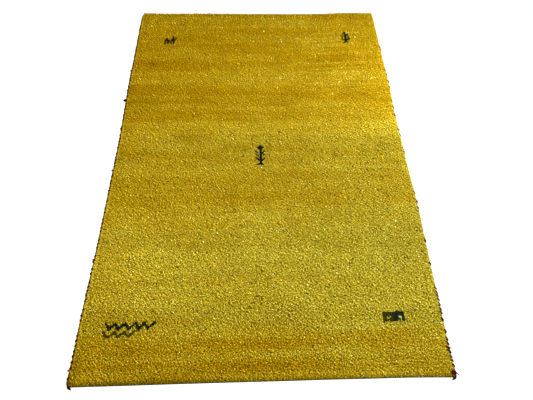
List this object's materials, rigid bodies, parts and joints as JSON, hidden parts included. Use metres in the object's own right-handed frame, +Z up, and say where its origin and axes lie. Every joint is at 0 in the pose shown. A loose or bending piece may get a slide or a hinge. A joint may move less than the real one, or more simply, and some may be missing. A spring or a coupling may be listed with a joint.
{
  "type": "gabbeh rug",
  "caption": "Hand-knotted golden wool pile rug lying flat, with dark overcast side cords, loose yarn ends and knotted near corners.",
  "frame": {"origin": "middle of the nominal 1.2 m by 1.8 m rectangle, on the underside where the rug rests", "axes": "+X across the rug to the right, +Y along the rug away from the near end, +Z up from the floor"},
  "size_m": [1.2197, 1.818, 0.0165],
  "materials": {
    "golden_wool_pile": "matt hand-knotted wool pile, golden yellow with bands of lighter and deeper dye",
    "dark_wool_overcasting": "matt thick wool yarn, dark maroon"
  },
  "bodies": {
    "root": {"pile_field": "golden_wool_pile", "selvedge_left": "dark_wool_overcasting", "selvedge_right": "dark_wool_overcasting"}
  },
  "joints": []
}
